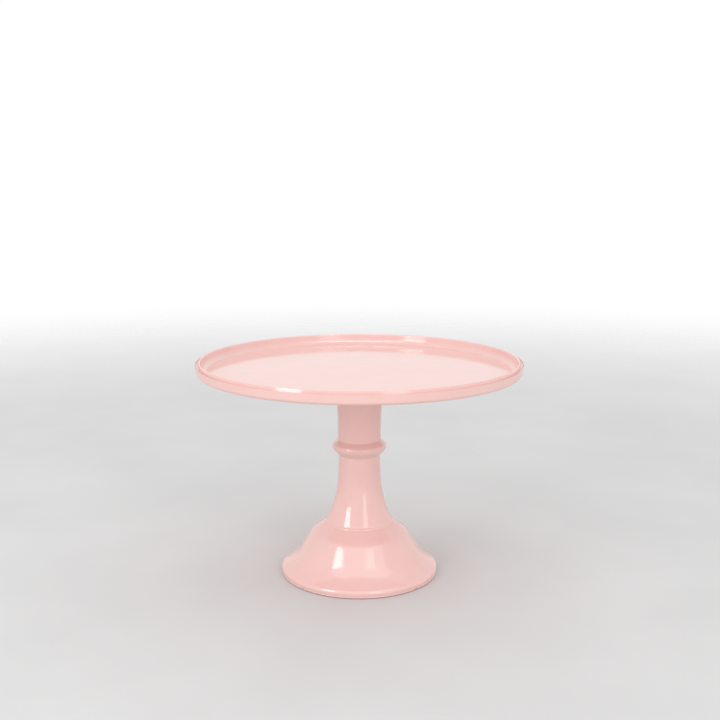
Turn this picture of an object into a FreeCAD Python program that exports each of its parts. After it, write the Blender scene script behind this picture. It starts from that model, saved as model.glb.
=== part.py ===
import FreeCAD, Part
import math
import os

# Cake stand: a round plate with a raised lip on a hollow turned pedestal.
# The plate carries a threaded stud and screws onto the top of the pedestal.
# Units are millimetres. The axis is Z, and Z = 0 is the surface that the stand rests on.

# ---- driving dimensions -------------------------------------------------------------------
PLATE_DIAMETER = 300.0
OVERALL_HEIGHT = 203.8
FOOT_DIAMETER = 147.6
BEAD_DIAMETER = 50.4
NECK_TOP_DIAMETER = 46.0

# plate
WELL_DEPTH = 9.7          # from the top of the lip down to the floor
FLOOR_THICKNESS = 3.4
LIP_WIDTH = 4.8
LIP_DRAFT = 1.4           # the lip's inner face leans out this far
WALL_HEIGHT = 10.9        # outside of the lip, down to where the underside sweeps in
WALL_DRAFT = 0.8
SWEEP_WIDTH = 17.0        # the underside curves up to the wall over this width
HUB_RADIUS = 24.0
HUB_DRAFT = 0.4
HUB_DEPTH = 5.2           # the hub stands down this far from the underside
HUB_FILLET = 4.0

# pedestal
PAD_PROUD = 0.8           # the pads hold the foot's edge this far above the table
LAND_WIDTH = 8.1          # flat ring under the foot, where the pads sit
LAND_DRAFT = 0.8
BORE_RADIUS = 15.0        # hollow inside the neck
CUP_RADIUS = 10.0         # recess in the pedestal's top that the lock nut turns in
CUP_DEPTH = 5.0
WEB_THICKNESS = 6.5       # wall that closes the hollow, below the cup
BOSS_RADIUS = 10.5
BOSS_DEPTH = 7.5          # the boss hangs below the wall, round the pedestal's insert

# gasket between plate and pedestal
GASKET_THICKNESS = 2.0
GASKET_OUTER_RADIUS = 22.2
GASKET_INNER_RADIUS = 10.4
GASKET_EDGE = 0.4

# M8 hardware; threads are plain cylinders at the major diameter
THREAD_RADIUS = 4.0
THREAD_CLEARANCE = 0.05
STUD_LENGTH = 25.0
STUD_CHAMFER = 0.9
SOCKET_ACROSS_FLATS = 4.0
SOCKET_DEPTH = 5.0
NUT_ACROSS_FLATS = 13.0
NUT_HEIGHT = 4.0
WASHER_OUTER_RADIUS = 8.0
WASHER_INNER_RADIUS = 4.2
WASHER_THICKNESS = 1.6
INSERT_RADIUS = 6.5
INSERT_GROOVE_DEPTH = 0.7
INSERT_GROOVE_WIDTH = 2.0
INSERT_FLANGE_RADIUS = 8.5
INSERT_FLANGE_THICKNESS = 1.8
INSERT_FLANGE_BEVEL = 0.6
INSERT_EDGE = 0.4
INSERT_COVER = 2.2        # moulding left over the plate's insert
INSERT_END_WALL = 0.8     # brass left over the end of the plate insert's bore
STUD_END_GAP = 0.3        # from the end of the stud to the end of that bore

# foot pads
PAD_COUNT = 4
PAD_RADIUS = 2.9
PAD_HEIGHT = 1.8
PAD_CHAMFER = 0.35
PAD_CLEARANCE = 0.2
FIRST_PAD_ANGLE = 45.0

# ---- heights that follow from them ---------------------------------------------------------
PLATE_RADIUS = PLATE_DIAMETER / 2
FOOT_RADIUS = FOOT_DIAMETER / 2
FLOOR_Z = OVERALL_HEIGHT - WELL_DEPTH
UNDERSIDE_Z = FLOOR_Z - FLOOR_THICKNESS
HUB_Z = UNDERSIDE_Z - HUB_DEPTH
NECK_TOP_Z = HUB_Z - GASKET_THICKNESS
CUP_FLOOR_Z = NECK_TOP_Z - CUP_DEPTH
WEB_Z = CUP_FLOOR_Z - WEB_THICKNESS
BOSS_Z = WEB_Z - BOSS_DEPTH
WASHER_Z = HUB_Z - WASHER_THICKNESS
NUT_Z = WASHER_Z - NUT_HEIGHT
PLATE_INSERT_TOP_Z = FLOOR_Z - INSERT_COVER
PLATE_BORE_TOP_Z = PLATE_INSERT_TOP_Z - INSERT_END_WALL
STUD_TOP_Z = PLATE_BORE_TOP_Z - STUD_END_GAP
STUD_Z = STUD_TOP_Z - STUD_LENGTH
PAD_RING_RADIUS = FOOT_RADIUS - LAND_WIDTH / 2

AXIS_POINT = FreeCAD.Vector(0, 0, 0)
AXIS = FreeCAD.Vector(0, 0, 1)


# ---- helpers -------------------------------------------------------------------------------
def corner(before, point, after, radius):
    """Tangent points and middle of the arc that rounds one corner of an outline."""
    to_before = (before - point).normalize()
    to_after = (after - point).normalize()
    half_angle = to_before.getAngle(to_after) / 2
    setback = radius / math.tan(half_angle)
    bisector = (to_before + to_after).normalize()
    centre = point + bisector * (radius / math.sin(half_angle))
    return point + to_before * setback, centre - bisector * radius, point + to_after * setback


def outline(vertices):
    """Closed wire in the XZ plane through (radius, height, corner radius) vertices."""
    points = [FreeCAD.Vector(r, 0, z) for r, z, _ in vertices]
    count = len(points)
    corners = []
    for i, (_, _, rounding) in enumerate(vertices):
        if rounding > 0:
            corners.append(corner(points[i - 1], points[i], points[(i + 1) % count], rounding))
        else:
            corners.append((points[i], None, points[i]))
    edges = []
    for i, (start, middle, end) in enumerate(corners):
        if middle is not None:
            edges.append(Part.Arc(start, middle, end).toShape())
        following = corners[(i + 1) % count][0]
        if end.distanceToPoint(following) > 1e-6:
            edges.append(Part.LineSegment(end, following).toShape())
    return Part.Wire(edges)


def turned(vertices):
    """Solid of revolution about Z from an outline."""
    return Part.Face(outline(vertices)).revolve(AXIS_POINT, AXIS, 360)


def cylinder(radius, bottom, top):
    return Part.makeCylinder(radius, top - bottom, FreeCAD.Vector(0, 0, bottom))


def hexagon_prism(across_flats, bottom, top):
    corner_radius = across_flats / math.sqrt(3)
    points = []
    for i in range(7):
        angle = math.radians(60 * i)
        x, y = corner_radius * math.cos(angle), corner_radius * math.sin(angle)
        points.append(FreeCAD.Vector(x, y, bottom))
    return Part.Face(Part.makePolygon(points)).extrude(FreeCAD.Vector(0, 0, top - bottom))


def pad_centres():
    for i in range(PAD_COUNT):
        angle = math.radians(FIRST_PAD_ANGLE + 360 * i / PAD_COUNT)
        yield FreeCAD.Vector(PAD_RING_RADIUS * math.cos(angle), PAD_RING_RADIUS * math.sin(angle), 0)


# ---- plate and what is fixed in it ----------------------------------------------------------
def plate_insert_envelope():
    """Outside of the plate's insert: a plain barrel with a flange at its blind end."""
    flange_z = PLATE_INSERT_TOP_Z - INSERT_FLANGE_THICKNESS
    return turned([
        (0, HUB_Z, 0),
        (INSERT_RADIUS, HUB_Z, 0),
        (INSERT_RADIUS, flange_z - INSERT_FLANGE_BEVEL, 0),
        (INSERT_FLANGE_RADIUS, flange_z, 0),
        (INSERT_FLANGE_RADIUS, PLATE_INSERT_TOP_Z, INSERT_EDGE),
        (0, PLATE_INSERT_TOP_Z, 0),
    ])


def plate_insert():
    bore = cylinder(THREAD_RADIUS + THREAD_CLEARANCE, HUB_Z, PLATE_BORE_TOP_Z)
    return plate_insert_envelope().cut(bore)


def plate():
    """Flat-floored plate with an upright lip, and a hub under its centre."""
    lip_inner = PLATE_RADIUS - LIP_WIDTH
    disc = turned([
        (0, HUB_Z, 0),
        (HUB_RADIUS, HUB_Z, 1.0),
        (HUB_RADIUS + HUB_DRAFT, UNDERSIDE_Z, HUB_FILLET),
        (PLATE_RADIUS - SWEEP_WIDTH, UNDERSIDE_Z, 25.0),
        (PLATE_RADIUS - WALL_DRAFT, OVERALL_HEIGHT - WALL_HEIGHT, 3.2),
        (PLATE_RADIUS, OVERALL_HEIGHT, 2.2),
        (lip_inner, OVERALL_HEIGHT, 1.3),
        (lip_inner - LIP_DRAFT, FLOOR_Z, 6.0),
        (0, FLOOR_Z, 0),
    ])
    return disc.cut(plate_insert_envelope())


def plate_stud():
    """Set screw with chamfered ends and a hexagon socket in its lower end."""
    tip_radius = THREAD_RADIUS - STUD_CHAMFER
    shank = turned([
        (0, STUD_Z, 0),
        (tip_radius, STUD_Z, 0),
        (THREAD_RADIUS, STUD_Z + STUD_CHAMFER, 0),
        (THREAD_RADIUS, STUD_TOP_Z - STUD_CHAMFER, 0),
        (tip_radius, STUD_TOP_Z, 0),
        (0, STUD_TOP_Z, 0),
    ])
    return shank.cut(hexagon_prism(SOCKET_ACROSS_FLATS, STUD_Z, STUD_Z + SOCKET_DEPTH))


def stud_washer():
    disc = cylinder(WASHER_OUTER_RADIUS, WASHER_Z, HUB_Z)
    return disc.cut(cylinder(WASHER_INNER_RADIUS, WASHER_Z, HUB_Z))


def stud_lock_nut():
    """Thin hexagon nut whose corners are turned down at both faces."""
    corner_radius = NUT_ACROSS_FLATS / math.sqrt(3)
    flat_radius = NUT_ACROSS_FLATS / 2
    drop = (corner_radius - flat_radius) * math.tan(math.radians(30))
    turning = turned([
        (0, NUT_Z, 0),
        (flat_radius, NUT_Z, 0),
        (corner_radius, NUT_Z + drop, 0),
        (corner_radius, WASHER_Z - drop, 0),
        (flat_radius, WASHER_Z, 0),
        (0, WASHER_Z, 0),
    ])
    body = hexagon_prism(NUT_ACROSS_FLATS, NUT_Z, WASHER_Z).common(turning)
    return body.cut(cylinder(THREAD_RADIUS + THREAD_CLEARANCE, NUT_Z, WASHER_Z))


# ---- gasket -----------------------------------------------------------------------------------
def plate_gasket():
    return turned([
        (GASKET_INNER_RADIUS, NECK_TOP_Z, GASKET_EDGE),
        (GASKET_OUTER_RADIUS, NECK_TOP_Z, GASKET_EDGE),
        (GASKET_OUTER_RADIUS, HUB_Z, GASKET_EDGE),
        (GASKET_INNER_RADIUS, HUB_Z, GASKET_EDGE),
    ])


# ---- pedestal and what is fixed in it ---------------------------------------------------------
def pedestal_insert_envelope():
    """Outside of the pedestal's insert: a barrel with one wide groove round its middle."""
    groove_z = (BOSS_Z + CUP_FLOOR_Z) / 2
    groove_radius = INSERT_RADIUS - INSERT_GROOVE_DEPTH
    return turned([
        (0, BOSS_Z, 0),
        (INSERT_RADIUS, BOSS_Z, 0),
        (INSERT_RADIUS, groove_z - INSERT_GROOVE_WIDTH / 2, 0),
        (groove_radius, groove_z - INSERT_GROOVE_WIDTH / 2, 0),
        (groove_radius, groove_z + INSERT_GROOVE_WIDTH / 2, 0),
        (INSERT_RADIUS, groove_z + INSERT_GROOVE_WIDTH / 2, 0),
        (INSERT_RADIUS, CUP_FLOOR_Z, 0),
        (0, CUP_FLOOR_Z, 0),
    ])


def pedestal_insert():
    bore = cylinder(THREAD_RADIUS + THREAD_CLEARANCE, BOSS_Z, CUP_FLOOR_Z)
    return pedestal_insert_envelope().cut(bore)


def outer_skin():
    """Outside of the pedestal, from the foot's edge up to the seat of the gasket.

    A fine step divides the stem from the shoulder of the foot.
    """
    foot = PAD_PROUD
    bead_radius = BEAD_DIAMETER / 2
    return [
        (FOOT_RADIUS, foot, 0.6),
        (FOOT_RADIUS - 0.4, foot + 5.4, 4.0),
        (FOOT_RADIUS - 11.8, foot + 12.6, 48.0),
        (45.2, foot + 38.2, 16.0),
        (32.6, foot + 48.05, 0.2),
        (32.35, foot + 48.85, 0.3),
        (31.1, foot + 50.1, 6.0),
        (21.1, foot + 69.8, 97.0),
        (19.2, foot + 112.3, 0.5),
        (bead_radius - 1.0, foot + 117.5, 3.1),
        (bead_radius + 0.85, foot + 121.7, 3.9),
        (20.15, foot + 126.8, 0.5),
        (19.8, foot + 135.0, 300.0),
        (21.0, foot + 168.0, 60.0),
        (NECK_TOP_DIAMETER / 2, NECK_TOP_Z, 0.8),
    ]


def inner_skin():
    """Hollow of the pedestal, from the wall below the cup down to the land of the foot."""
    foot = PAD_PROUD
    land_inner = FOOT_RADIUS - LAND_WIDTH
    return [
        (BORE_RADIUS, WEB_Z, 2.0),
        (15.3, foot + 111.0, 0),
        (17.2, foot + 69.0, 109.0),
        (28.6, foot + 46.4, 7.0),
        (41.9, foot + 36.0, 12.0),
        (59.2, foot + 9.7, 20.0),
        (land_inner - LAND_DRAFT, foot + 6.1, 2.0),
        (land_inner, foot, 0.8),
    ]


def pedestal():
    """Hollow turned column with a bead, a shouldered foot, and a cup and boss at its top."""
    top = [
        (CUP_RADIUS, NECK_TOP_Z, 0.6),
        (CUP_RADIUS, CUP_FLOOR_Z, 0.6),
        (0, CUP_FLOOR_Z, 0),
        (0, BOSS_Z, 0),
        (BOSS_RADIUS, BOSS_Z, 1.0),
        (BOSS_RADIUS, WEB_Z, 1.5),
    ]
    column = turned(outer_skin() + top + inner_skin())
    column = column.cut(pedestal_insert_envelope())
    for centre in pad_centres():
        column = column.cut(Part.makeCylinder(PAD_RADIUS + PAD_CLEARANCE, PAD_HEIGHT, centre))
    return column


def foot_pad(centre):
    """Round bumper, let into the foot's land, with a chamfered lower edge."""
    disc = turned([
        (0, 0, 0),
        (PAD_RADIUS - PAD_CHAMFER, 0, 0),
        (PAD_RADIUS, PAD_CHAMFER, 0),
        (PAD_RADIUS, PAD_HEIGHT, 0),
        (0, PAD_HEIGHT, 0),
    ])
    disc.translate(centre)
    return disc


def main():
    os.makedirs("parts", exist_ok=True)
    parts = {
        "plate": plate(),
        "plate_insert": plate_insert(),
        "plate_stud": plate_stud(),
        "stud_washer": stud_washer(),
        "stud_lock_nut": stud_lock_nut(),
        "plate_gasket": plate_gasket(),
        "pedestal": pedestal(),
        "pedestal_insert": pedestal_insert(),
    }
    for number, centre in enumerate(pad_centres(), start=1):
        parts[f"foot_pad_{number}"] = foot_pad(centre)
    for name, shape in parts.items():
        shape.exportStep(f"parts/{name}.step")
        print(f"{name}: valid {shape.isValid()}, {len(shape.Solids)} solid, {shape.Volume / 1000:.2f} cm3")


main()
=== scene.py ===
import math

import bpy
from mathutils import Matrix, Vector


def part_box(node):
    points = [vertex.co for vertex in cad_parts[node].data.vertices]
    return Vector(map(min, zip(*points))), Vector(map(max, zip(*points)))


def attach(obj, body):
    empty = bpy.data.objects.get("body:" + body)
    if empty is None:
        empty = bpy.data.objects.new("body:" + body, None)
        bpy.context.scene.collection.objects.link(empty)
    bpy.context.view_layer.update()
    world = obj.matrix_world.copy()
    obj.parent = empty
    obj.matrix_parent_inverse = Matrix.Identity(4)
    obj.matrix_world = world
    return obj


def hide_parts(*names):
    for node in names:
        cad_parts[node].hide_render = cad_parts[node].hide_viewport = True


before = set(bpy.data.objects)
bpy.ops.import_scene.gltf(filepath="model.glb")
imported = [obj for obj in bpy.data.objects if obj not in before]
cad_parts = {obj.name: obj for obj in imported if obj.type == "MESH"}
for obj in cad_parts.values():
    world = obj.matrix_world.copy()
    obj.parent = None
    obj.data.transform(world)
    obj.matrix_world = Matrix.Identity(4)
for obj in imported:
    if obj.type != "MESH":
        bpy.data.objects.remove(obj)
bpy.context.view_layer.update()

MM = 0.001

# ---- sizes that come from the frame, in metres --------------------------------------------------
RIM_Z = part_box("plate")[1].z
HUB_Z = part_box("plate")[0].z
NECK_TOP_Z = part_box("pedestal")[1].z
FOOT_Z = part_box("pedestal")[0].z
CUP_FLOOR_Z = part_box("pedestal_insert")[1].z
BOSS_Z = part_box("pedestal_insert")[0].z
PLATE_INSERT_TOP_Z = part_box("plate_insert")[1].z
STUD_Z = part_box("plate_stud")[0].z
STUD_TOP_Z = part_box("plate_stud")[1].z
NUT_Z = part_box("stud_lock_nut")[0].z
NUT_TOP_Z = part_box("stud_lock_nut")[1].z
PAD_NODES = sorted(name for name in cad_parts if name.startswith("foot_pad"))

# ---- moulded sizes --------------------------------------------------------------------------------
PLATE_RADIUS = 150.0 * MM
WELL_DEPTH = 9.7 * MM
FLOOR_THICKNESS = 3.4 * MM
LIP_WIDTH = 4.8 * MM
LIP_DRAFT = 1.4 * MM           # how far the inside of the lip leans out on its way up
WALL_HEIGHT = 10.9 * MM        # outside of the lip, down to where the underside sweeps in
WALL_DRAFT = 0.8 * MM
SWEEP_WIDTH = 17.0 * MM        # the underside's curve up to the wall
SATIN_MARGIN = 22.0 * MM       # the polished finish reaches this far in under the plate
HUB_RADIUS = 24.0 * MM
HUB_DRAFT = 0.4 * MM
FOOT_RADIUS = 73.8 * MM
LAND_WIDTH = 8.1 * MM
NECK_TOP_RADIUS = 23.0 * MM
CUP_RADIUS = 10.0 * MM
BOSS_RADIUS = 10.5 * MM
BOSS_DEPTH = 7.5 * MM
BORE_RADIUS = 15.0 * MM
PAD_CLEARANCE = 0.2 * MM
CUTTER_OVERHANG = 1.0 * MM     # how far the tool for a pad's recess starts below the table

# ---- hardware sizes -------------------------------------------------------------------------------
THREAD_RADIUS = 4.0 * MM
THREAD_CLEARANCE = 0.05 * MM
THREAD_PITCH = 1.25 * MM
THREAD_DEPTH = 0.65 * MM
THREAD_CREST = 0.14            # flat of the crest, as a part of the half pitch
THREAD_FLANK = 0.62            # slope between the crest and the root
STUD_CHAMFER = 0.9 * MM
SOCKET_ACROSS_FLATS = 4.0 * MM
SOCKET_DEPTH = 5.0 * MM
NUT_ACROSS_FLATS = 13.0 * MM
INSERT_RADIUS = 6.5 * MM
INSERT_FLANGE_RADIUS = 8.5 * MM
INSERT_FLANGE_THICKNESS = 1.8 * MM
INSERT_FLANGE_BEVEL = 0.6 * MM

# ---- fineness of the meshes -------------------------------------------------------------------------
PLATE_SEGMENTS = 384
PEDESTAL_SEGMENTS = 288
HARDWARE_SEGMENTS = 72
PAD_SEGMENTS = 48
STUD_RINGS_PER_TURN = 14
BORE_RINGS_PER_TURN = 12
SHARP_DEGREES = 35
FLOOR_RINGS = 16
FLOOR_SEGMENTS = 96
ARC_STEP = math.radians(2.0)
RUN_STEP = 3.0 * MM
ON_AXIS = 1e-7


# ---- outlines ---------------------------------------------------------------------------------------
def rounded(vertices):
    """Points along a closed outline of (radius, height, corner radius) vertices."""
    points = []
    count = len(vertices)
    for i, (r, z, rounding) in enumerate(vertices):
        here = Vector((r, z))
        if rounding <= 0:
            points.append(here)
            continue
        to_before = (Vector(vertices[i - 1][:2]) - here).normalized()
        to_after = (Vector(vertices[(i + 1) % count][:2]) - here).normalized()
        half = to_before.angle(to_after) / 2
        centre = here + (to_before + to_after).normalized() * (rounding / math.sin(half))
        start = here + to_before * (rounding / math.tan(half)) - centre
        turn = math.copysign(math.pi - 2 * half, start.x * to_after.y - start.y * to_after.x)
        steps = max(4, math.ceil(abs(turn) / ARC_STEP))
        for k in range(steps + 1):
            c, s = math.cos(turn * k / steps), math.sin(turn * k / steps)
            points.append(centre + Vector((start.x * c - start.y * s, start.x * s + start.y * c)))
    return subdivided(points)


def subdivided(points):
    """The outline with its long straight runs cut into short ones."""
    out = []
    for here, after in zip(points, points[1:] + points[:1]):
        out.append(here)
        on_axis = here.x < ON_AXIS and after.x < ON_AXIS
        pieces = 1 if on_axis else max(1, math.ceil((after - here).length / RUN_STEP))
        for k in range(1, pieces):
            out.append(here.lerp(after, k / pieces))
    return out


def plate_outline():
    """Plate section: hub face, underside, lip, well floor, and the socket of the insert."""
    floor_z = RIM_Z - WELL_DEPTH
    underside_z = floor_z - FLOOR_THICKNESS
    lip_inner = PLATE_RADIUS - LIP_WIDTH
    flange_z = PLATE_INSERT_TOP_Z - INSERT_FLANGE_THICKNESS
    return rounded([
        (INSERT_RADIUS, HUB_Z, 0),
        (HUB_RADIUS, HUB_Z, 1.0 * MM),
        (HUB_RADIUS + HUB_DRAFT, underside_z, 4.0 * MM),
        (PLATE_RADIUS - SWEEP_WIDTH, underside_z, 25 * MM),
        (PLATE_RADIUS - WALL_DRAFT, RIM_Z - WALL_HEIGHT, 3.2 * MM),
        (PLATE_RADIUS, RIM_Z, 2.2 * MM),
        (lip_inner, RIM_Z, 1.3 * MM),
        (lip_inner - LIP_DRAFT, floor_z, 6.0 * MM),
        (0, floor_z, 0),
        (0, PLATE_INSERT_TOP_Z, 0),
        (INSERT_FLANGE_RADIUS, PLATE_INSERT_TOP_Z, 0),
        (INSERT_FLANGE_RADIUS, flange_z, 0),
        (INSERT_RADIUS, flange_z - INSERT_FLANGE_BEVEL, 0),
    ])


def pedestal_outline():
    """Pedestal section: outer skin upwards, the cup, the insert's hole, and the hollow downwards.

    The outer skin and the hollow are in millimetres from the foot's lower edge.
    """
    web_z = BOSS_Z + BOSS_DEPTH
    land_inner = FOOT_RADIUS - LAND_WIDTH
    outer_skin = [
        (73.8, 0.0, 0.6),
        (73.4, 5.4, 4.0),
        (62.0, 12.6, 48.0),
        (45.2, 38.2, 16.0),
        (32.6, 48.05, 0.2),
        (32.35, 48.85, 0.3),
        (31.1, 50.1, 6.0),
        (21.1, 69.8, 97.0),
        (19.2, 112.3, 0.5),
        (24.2, 117.5, 3.1),
        (26.05, 121.7, 3.9),
        (20.15, 126.8, 0.5),
        (19.8, 135.0, 300.0),
        (21.0, 168.0, 60.0),
    ]
    hollow = [
        (15.3, 111.0, 0),
        (17.2, 69.0, 109.0),
        (28.6, 46.4, 7.0),
        (41.9, 36.0, 12.0),
        (59.2, 9.7, 20.0),
        (64.9, 6.1, 2.0),
    ]
    top = [
        (NECK_TOP_RADIUS, NECK_TOP_Z, 0.8 * MM),
        (CUP_RADIUS, NECK_TOP_Z, 0.6 * MM),
        (CUP_RADIUS, CUP_FLOOR_Z, 0.6 * MM),
        (INSERT_RADIUS, CUP_FLOOR_Z, 0),
        (INSERT_RADIUS, BOSS_Z, 0),
        (BOSS_RADIUS, BOSS_Z, 1.0 * MM),
        (BOSS_RADIUS, web_z, 1.5 * MM),
        (BORE_RADIUS, web_z, 2.0 * MM),
    ]
    return rounded(from_foot(outer_skin) + top + from_foot(hollow) + [(land_inner, FOOT_Z, 0.8 * MM)])


def from_foot(run):
    """Vertices given in millimetres from the foot's lower edge, in metres in the frame."""
    return [(r * MM, FOOT_Z + z * MM, rounding * MM) for r, z, rounding in run]


# ---- meshes -------------------------------------------------------------------------------------------
def ring(z, radius_at, segments):
    """Points round the axis at one height; radius_at gives the radius at an angle."""
    points = []
    for k in range(segments):
        angle = 2 * math.pi * k / segments
        r = radius_at(angle)
        points.append((r * math.cos(angle), r * math.sin(angle), z))
    return points


def pole(z):
    """The one point of a ring that has closed up on the axis."""
    return [(0.0, 0.0, z)]


def stitched(rings, closed):
    """Points and faces of the surface through rings; closed joins the last ring to the first."""
    verts = []
    numbered = []
    for points in rings:
        numbered.append(list(range(len(verts), len(verts) + len(points))))
        verts.extend(points)
    pairs = list(zip(numbered, numbered[1:]))
    if closed:
        pairs.append((numbered[-1], numbered[0]))
    faces = []
    for low, high in pairs:
        segments = max(len(low), len(high))
        for k in range(segments if segments > 1 else 0):
            j = (k + 1) % segments
            if len(low) == 1:
                faces.append((low[0], high[j], high[k]))
            elif len(high) == 1:
                faces.append((low[k], low[j], high[0]))
            else:
                faces.append((low[k], low[j], high[j], high[k]))
    return verts, faces


def skin(name, rings, material, closed=True, sharp_degrees=SHARP_DEGREES):
    """Smooth object through rings of points, creased where faces meet more sharply than sharp_degrees."""
    verts, faces = stitched(rings, closed)
    mesh = bpy.data.meshes.new(name)
    mesh.from_pydata(verts, [], faces)
    mesh.update()
    mesh.shade_smooth()
    mesh.set_sharp_from_angle(angle=math.radians(sharp_degrees))
    mesh.materials.append(material)
    piece = bpy.data.objects.new(name, mesh)
    bpy.context.scene.collection.objects.link(piece)
    return piece


def lathe(name, outline, segments, material):
    """Solid of revolution about Z of a closed outline."""
    rings = []
    for point in outline:
        if point.x < ON_AXIS:
            rings.append(pole(point.y))
        else:
            rings.append(ring(point.y, lambda angle, r=point.x: r, segments))
    return skin(name, rings, material)


def second_finish(piece, material, belongs):
    """Gives another material to the faces that belongs(centre, normal) picks out."""
    piece.data.materials.append(material)
    for face in piece.data.polygons:
        if belongs(face.center, face.normal):
            face.material_index = 1


def place(piece, body, node):
    """The piece stands for a CAD node and moves with its body."""
    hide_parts(node)
    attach(piece, body)


# ---- material helpers -----------------------------------------------------------------------------------
class Surface:
    """A material with its shader and shortcuts for the nodes that feed it."""

    def __init__(self, name, colour, roughness, metallic=0.0, ior=1.5):
        self.material = bpy.data.materials.new(name)
        self.material.use_nodes = True
        self.nodes = self.material.node_tree.nodes
        self.links = self.material.node_tree.links
        self.shader = self.nodes["Principled BSDF"]
        self.shader.inputs["Base Color"].default_value = (*colour, 1)
        self.shader.inputs["Roughness"].default_value = roughness
        self.shader.inputs["Metallic"].default_value = metallic
        self.shader.inputs["IOR"].default_value = ior
        self.coords = self.nodes.new("ShaderNodeTexCoord").outputs["Object"]

    def stretched(self, scale):
        """The object's coordinates with another scale along each axis."""
        mapping = self.nodes.new("ShaderNodeMapping")
        mapping.inputs["Scale"].default_value = scale
        self.links.new(self.coords, mapping.inputs["Vector"])
        return mapping.outputs["Vector"]

    def noise(self, scale, detail=3.0, coords=None):
        node = self.nodes.new("ShaderNodeTexNoise")
        node.inputs["Scale"].default_value = scale
        node.inputs["Detail"].default_value = detail
        self.links.new(coords or self.coords, node.inputs["Vector"])
        return node.outputs["Fac"]

    def turning(self, pitch, direction, distortion):
        """Fine grooves one pitch apart, as a cutter leaves: along Z, or on rings about Z."""
        node = self.nodes.new("ShaderNodeTexWave")
        node.wave_type = "RINGS" if direction == "R" else "BANDS"
        if direction == "R":
            node.rings_direction = "Z"
        else:
            node.bands_direction = direction
        node.inputs["Scale"].default_value = 2 * math.pi / (20 * pitch)
        node.inputs["Distortion"].default_value = distortion
        self.links.new(self.coords, node.inputs["Vector"])
        return node.outputs["Fac"]

    def spread(self, value, low, high, start=0.3, end=0.7, interpolation="LINEAR"):
        """The part of value from start to end, spread over low to high."""
        node = self.nodes.new("ShaderNodeMapRange")
        node.interpolation_type = interpolation
        node.inputs["From Min"].default_value = start
        node.inputs["From Max"].default_value = end
        node.inputs["To Min"].default_value = low
        node.inputs["To Max"].default_value = high
        self.links.new(value, node.inputs["Value"])
        return node.outputs["Result"]

    def added(self, first, second):
        node = self.nodes.new("ShaderNodeMath")
        node.operation = "ADD"
        self.links.new(first, node.inputs[0])
        self.links.new(second, node.inputs[1])
        return node.outputs["Value"]

    def tint(self, value, low, high, below=None):
        """Colour between low and high by value; below is a colour that it is mixed over."""
        ramp = self.nodes.new("ShaderNodeMix")
        ramp.data_type = "RGBA"
        ramp.inputs["A"].default_value = (*low, 1)
        ramp.inputs["B"].default_value = (*high, 1)
        if below is not None:
            self.links.new(below, ramp.inputs["A"])
        self.links.new(value, ramp.inputs["Factor"])
        self.links.new(ramp.outputs["Result"], self.shader.inputs["Base Color"])
        return ramp.outputs["Result"]

    def roughness(self, value):
        self.links.new(value, self.shader.inputs["Roughness"])

    def bump(self, value, depth, strength=1.0):
        """Adds height over whatever bump the shader already has."""
        node = self.nodes.new("ShaderNodeBump")
        node.inputs["Distance"].default_value = depth
        node.inputs["Strength"].default_value = strength
        self.links.new(value, node.inputs["Height"])
        slot = self.shader.inputs["Normal"]
        if slot.is_linked:
            self.links.new(slot.links[0].from_socket, node.inputs["Normal"])
        self.links.new(node.outputs["Normal"], slot)

    def fade(self, start, end):
        """The surface turns clear between two distances from the axis."""
        length = self.nodes.new("ShaderNodeVectorMath")
        length.operation = "LENGTH"
        self.links.new(self.coords, length.inputs[0])
        amount = self.spread(length.outputs["Value"], 1.0, 0.0, start, end, "SMOOTHERSTEP")
        self.links.new(amount, self.shader.inputs["Alpha"])


# ---- materials ----------------------------------------------------------------------------------------
PINK = (0.80, 0.508, 0.472)
PINK_LIGHT = (0.815, 0.533, 0.497)
PINK_DEEP = (0.77, 0.455, 0.42)


def polished_melamine():
    """Pale pink resin off a polished mould: faint clouds of filler, and a slightly wavy gloss."""
    surface = Surface("melamine_polished", PINK, 0.1, ior=1.58)
    clouds = surface.spread(surface.noise(42, 5), 0.0, 1.0)
    base = surface.tint(clouds, PINK, PINK_LIGHT)
    flecks = surface.spread(surface.noise(1500, 2), 0.0, 0.35, 0.68, 0.8)
    surface.tint(flecks, PINK, PINK_DEEP, below=base)
    haze = surface.spread(surface.noise(70, 4), 0.07, 0.12)
    wiping = surface.spread(surface.noise(60, 4, surface.stretched((1, 1, 9))), 0.0, 0.03, 0.5, 0.8)
    surface.roughness(surface.added(haze, wiping))
    surface.bump(surface.noise(95, 1), 0.035 * MM)
    surface.bump(surface.noise(900, 2), 0.0012 * MM)
    return surface.material


def satin_melamine():
    """The same resin off the unpolished core and back of the mould, with its turning marks."""
    surface = Surface("melamine_satin", PINK, 0.35, ior=1.58)
    clouds = surface.spread(surface.noise(42, 5), 0.0, 1.0)
    base = surface.tint(clouds, PINK_DEEP, PINK)
    flecks = surface.spread(surface.noise(1500, 2), 0.0, 0.4, 0.66, 0.8)
    surface.tint(flecks, PINK, PINK_DEEP, below=base)
    surface.roughness(surface.spread(surface.noise(220, 5), 0.26, 0.42))
    marks = surface.added(surface.turning(0.9 * MM, "Z", 0.6), surface.turning(0.9 * MM, "R", 0.6))
    surface.bump(marks, 0.003 * MM)
    surface.bump(surface.noise(1400, 3), 0.006 * MM)
    return surface.material


def zinc_steel():
    """Zinc-plated steel, faintly mottled, with fine turning marks."""
    surface = Surface("zinc_steel", (0.60, 0.62, 0.64), 0.3, metallic=1.0)
    surface.tint(surface.spread(surface.noise(420, 4), 0.0, 1.0), (0.52, 0.55, 0.60), (0.70, 0.70, 0.68))
    surface.roughness(surface.spread(surface.noise(900, 4), 0.2, 0.4))
    surface.bump(surface.turning(0.18 * MM, "R", 0.3), 0.003 * MM)
    return surface.material


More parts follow.
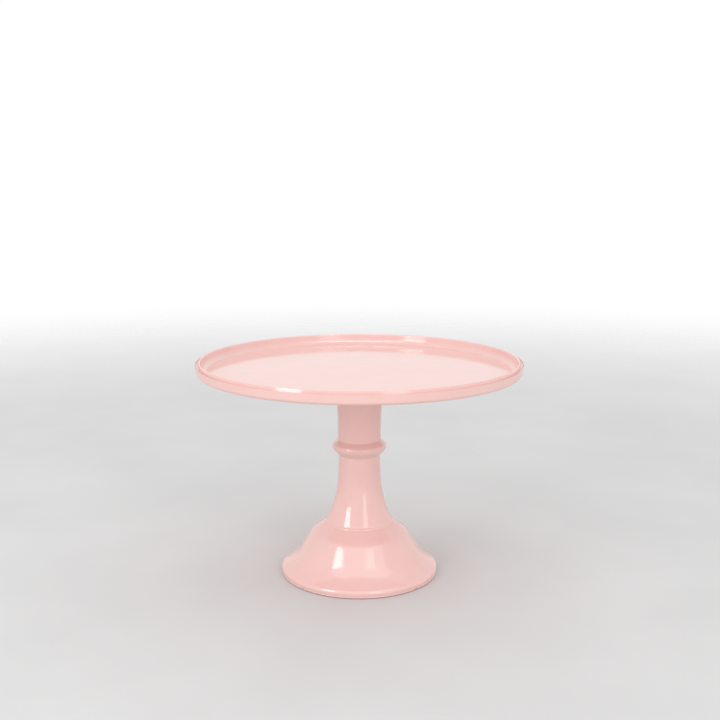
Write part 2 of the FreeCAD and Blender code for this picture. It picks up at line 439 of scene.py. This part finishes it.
def turned_brass():
    """Turned brass, a little dulled."""
    surface = Surface("turned_brass", (0.80, 0.58, 0.27), 0.28, metallic=1.0)
    surface.tint(surface.spread(surface.noise(500, 4), 0.0, 1.0), (0.70, 0.47, 0.20), (0.86, 0.66, 0.34))
    surface.roughness(surface.spread(surface.noise(800, 4), 0.2, 0.38))
    surface.bump(surface.turning(0.15 * MM, "R", 0.3), 0.003 * MM)
    return surface.material


def silicone():
    """Translucent grey silicone rubber with a fine matte skin; its grey is darker than the rubber's own,
    as painted shade, so the pads that show in the gap under the foot read as shadow.
    """
    # painted shade: these greys are partly the rubber's colour and partly darkened so the pads in the gap
    # under the foot look like shadow
    surface = Surface("silicone", (0.43, 0.41, 0.40), 0.5, ior=1.41)
    surface.shader.inputs["Subsurface Weight"].default_value = 0.3
    surface.shader.inputs["Subsurface Radius"].default_value = (1.0, 0.9, 0.8)
    surface.shader.inputs["Subsurface Scale"].default_value = 1.5 * MM
    surface.tint(surface.spread(surface.noise(600, 4), 0.0, 1.0), (0.39, 0.375, 0.365), (0.47, 0.45, 0.44))
    surface.roughness(surface.spread(surface.noise(1200, 4), 0.42, 0.6))
    surface.bump(surface.noise(2500, 3), 0.008 * MM)
    return surface.material


# ---- moulded pieces -------------------------------------------------------------------------------------
def plate_shell(polished, satin):
    """The plate; its underside and the face of its hub have the satin finish."""
    piece = lathe("plate_shell", plate_outline(), PLATE_SEGMENTS, polished)
    satin_radius = PLATE_RADIUS - SATIN_MARGIN
    second_finish(piece, satin, lambda centre, normal: normal.z < -0.5 and centre.xy.length < satin_radius)
    place(piece, "plate", "plate")


def pedestal_shell(polished, satin):
    """The pedestal; what faces inwards or down, hollow and foot's land, has the satin finish."""

    def faces_in_or_down(centre, normal):
        return normal.xy.dot(centre.xy.normalized()) < -0.05 or normal.z < -0.9

    piece = lathe("pedestal_shell", pedestal_outline(), PEDESTAL_SEGMENTS, polished)
    second_finish(piece, satin, faces_in_or_down)
    cut_pad_recesses(piece)
    place(piece, "pedestal", "pedestal")


def cut_pad_recesses(piece):
    """Sinks a round recess for each foot pad into the land of the foot."""
    cutters = []
    for name in PAD_NODES:
        low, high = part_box(name)
        centre = (low + high) / 2
        radius = (high.x - low.x) / 2 + PAD_CLEARANCE
        rings = [pole(-CUTTER_OVERHANG)]
        rings += [ring(z, lambda angle: radius, PAD_SEGMENTS) for z in (-CUTTER_OVERHANG, high.z)]
        rings.append(pole(high.z))
        cutter = skin(f"cutter_{name}", rings, piece.data.materials[1], closed=False)
        cutter.location = (centre.x, centre.y, 0)
        cutters.append(cutter)
    for cutter in cutters:
        modifier = piece.modifiers.new(cutter.name, "BOOLEAN")
        modifier.operation = "DIFFERENCE"
        modifier.solver = "EXACT"
        modifier.object = cutter
    bpy.context.view_layer.update()
    evaluated = piece.evaluated_get(bpy.context.evaluated_depsgraph_get())
    mesh = bpy.data.meshes.new_from_object(evaluated)
    piece.modifiers.clear()
    piece.data = mesh
    mesh.set_sharp_from_angle(angle=math.radians(SHARP_DEGREES))
    for cutter in cutters:
        bpy.data.objects.remove(cutter)


# ---- hardware -----------------------------------------------------------------------------------------
def thread(z, angle, crest, root):
    """Radius of a right-hand thread that runs between the radii crest and root."""
    phase = (z / THREAD_PITCH - angle / (2 * math.pi)) % 1.0
    away = abs(phase - 0.5) * 2
    return crest + (root - crest) * min(1.0, max(0.0, (away - THREAD_CREST) / THREAD_FLANK))


def levels(bottom, top, step):
    """Even heights from bottom to top, at most step apart."""
    count = math.ceil((top - bottom) / step)
    return [bottom + (top - bottom) * k / count for k in range(count + 1)]


def hexagon(across_flats):
    """Radius of a hexagon with a corner at angle 0."""
    side = math.radians(60)
    return lambda angle: across_flats / 2 / math.cos(angle % side - side / 2)


def stud(material):
    """Threaded stud with chamfered ends and a hexagon socket in its lower end."""
    tip = THREAD_RADIUS - STUD_CHAMFER
    root = THREAD_RADIUS - THREAD_DEPTH
    socket = hexagon(SOCKET_ACROSS_FLATS)

    def outside(z):
        end = min(z - STUD_Z, STUD_TOP_Z - z)
        return lambda angle: min(tip + end, thread(z, angle, THREAD_RADIUS, root))

    rings = [pole(STUD_Z + SOCKET_DEPTH)]
    for z in levels(STUD_Z, STUD_Z + SOCKET_DEPTH, MM)[::-1]:
        rings.append(ring(z, socket, HARDWARE_SEGMENTS))
    for z in levels(STUD_Z, STUD_TOP_Z, THREAD_PITCH / STUD_RINGS_PER_TURN):
        rings.append(ring(z, outside(z), HARDWARE_SEGMENTS))
    rings.append(pole(STUD_TOP_Z))
    piece = skin("threaded_stud", rings, material, closed=False, sharp_degrees=40)
    place(piece, "plate", "plate_stud")


def lock_nut(material):
    """Thin hexagon nut with turned corners and a threaded bore."""
    flat = NUT_ACROSS_FLATS / 2
    hexagonal = hexagon(NUT_ACROSS_FLATS)
    slope = math.tan(math.radians(30))

    def outside(z):
        end = min(z - NUT_Z, NUT_TOP_Z - z)
        return lambda angle: min(hexagonal(angle), flat + end / slope)

    crest = THREAD_RADIUS + THREAD_CLEARANCE
    rings = [ring(z, outside(z), HARDWARE_SEGMENTS) for z in levels(NUT_Z, NUT_TOP_Z, 0.1 * MM)]
    rings += threaded_bore(NUT_Z, NUT_TOP_Z, crest)
    piece = skin("lock_nut", rings, material, sharp_degrees=30)
    place(piece, "plate", "stud_lock_nut")


def threaded_bore(bottom, top, crest):
    """Rings of a threaded hole from its top to its bottom, with both mouths opened out."""
    def inside(z):
        mouth = crest + THREAD_DEPTH - min(z - bottom, top - z)
        return lambda angle: max(mouth, thread(z, angle, crest, crest + THREAD_DEPTH))

    heights = levels(bottom, top, THREAD_PITCH / BORE_RINGS_PER_TURN)
    return [ring(z, inside(z), HARDWARE_SEGMENTS) for z in heights[::-1]]


def threaded_insert(material):
    """Brass nut moulded into the wall below the pedestal's cup."""
    crest = THREAD_RADIUS + THREAD_CLEARANCE
    heights = levels(BOSS_Z, CUP_FLOOR_Z, MM)
    rings = [ring(z, lambda angle: INSERT_RADIUS, HARDWARE_SEGMENTS) for z in heights]
    rings += threaded_bore(BOSS_Z, CUP_FLOOR_Z, crest)
    piece = skin("threaded_insert", rings, material, sharp_degrees=40)
    place(piece, "pedestal", "pedestal_insert")


# ---- floor, light and camera --------------------------------------------------------------------------
FLOOR_RADIUS = 4.0
LIGHT_TARGET = Vector((0, 0, 0.08))
CAMERA_DISTANCE = 0.950
CAMERA_PITCH = math.radians(10.25)
CAMERA_TARGET_Z = RIM_Z - 1.5 * MM


def floor():
    """Pale matt floor that fades into the white background away from the stand."""
    rings = [pole(0.0)]
    for k in range(1, FLOOR_RINGS + 1):
        rings.append(ring(0.0, lambda angle, r=FLOOR_RADIUS * k / FLOOR_RINGS: r, FLOOR_SEGMENTS))
    surface = Surface("pale_floor", (0.62, 0.62, 0.62), 0.75)
    surface.tint(surface.spread(surface.noise(6, 3), 0.0, 1.0), (0.60, 0.60, 0.60), (0.64, 0.64, 0.64))
    surface.bump(surface.noise(400, 3), 0.05 * MM)
    surface.fade(0.45, 2.4)
    piece = skin("floor", rings, surface.material, closed=False)


def aim(thing, target):
    """Turns a lamp or the camera towards a point."""
    thing.rotation_euler = (Vector(target) - thing.location).to_track_quat("-Z", "Y").to_euler()


def softbox(name, azimuth, elevation, distance, width, height, wash, glint):
    """Soft light at an angle left of the front and an elevation, as seen from the stand.

    wash is its radiance for the shading, and glint its radiance in the gloss. Each has its
    own lamp, unless it is 0. The two lamps don't share a plane, because one would hide the
    other.
    """
    a, e = math.radians(azimuth), math.radians(elevation)
    toward = Vector((-math.sin(a) * math.cos(e), -math.cos(a) * math.cos(e), math.sin(e)))
    for part, radiance, nearness in (("wash", wash, 1.0), ("glint", glint, 0.96)):
        if not radiance:
            continue
        light = bpy.data.lights.new(f"{name}_{part}", "AREA")
        light.shape = "RECTANGLE"
        light.size = width * nearness
        light.size_y = height * nearness
        light.energy = radiance * math.pi * light.size * light.size_y
        lamp = bpy.data.objects.new(light.name, light)
        lamp.location = LIGHT_TARGET + distance * nearness * toward
        lamp.visible_diffuse = part == "wash"
        lamp.visible_glossy = part == "glint"
        bpy.context.scene.collection.objects.link(lamp)
        aim(lamp, LIGHT_TARGET)


def surroundings(strength):
    """Even white light from all round, which is also the plain white background."""
    world = bpy.data.worlds.new("studio")
    world.use_nodes = True
    background = world.node_tree.nodes["Background"]
    background.inputs["Color"].default_value = (1, 1, 1, 1)
    background.inputs["Strength"].default_value = strength
    bpy.context.scene.world = world


def camera():
    """Looks down a little at the middle of the plate's lip from the front."""
    height = CAMERA_TARGET_Z + CAMERA_DISTANCE * math.tan(CAMERA_PITCH)
    data = bpy.data.cameras.new("camera")
    data.sensor_width = 36.0
    data.lens = 52.45
    data.shift_x = 0.0009
    thing = bpy.data.objects.new("camera", data)
    thing.location = (0, -CAMERA_DISTANCE, height)
    bpy.context.scene.collection.objects.link(thing)
    aim(thing, (0, 0, CAMERA_TARGET_Z))
    bpy.context.scene.camera = thing


def main():
    polished, satin = polished_melamine(), satin_melamine()
    steel, brass, rubber = zinc_steel(), turned_brass(), silicone()
    plate_shell(polished, satin)
    pedestal_shell(polished, satin)
    stud(steel)
    lock_nut(steel)
    threaded_insert(brass)
    finishes = {"stud_washer": steel, "plate_insert": brass, "plate_gasket": rubber}
    # the pads get the grey rubber whose colour is partly painted shade in the gap under the foot
    finishes.update({name: rubber for name in PAD_NODES})
    for name, material in finishes.items():
        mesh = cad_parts[name].data
        mesh.materials.clear()
        mesh.materials.append(material)
    floor()
    softbox("key", 46.5, 26, 1.5, 0.46, 0.75, wash=3.4, glint=6.4)
    softbox("strip", -24, 22, 1.8, 0.5, 1.4, wash=2.6, glint=1.8)
    softbox("front", -4, 55, 1.4, 2.4, 0.8, wash=0, glint=0.9)
    softbox("top", 0, 72, 1.3, 1.0, 0.26, wash=0, glint=9)
    surroundings(1.02)
    bpy.context.scene.view_settings.view_transform = "Standard"
    camera()


main()
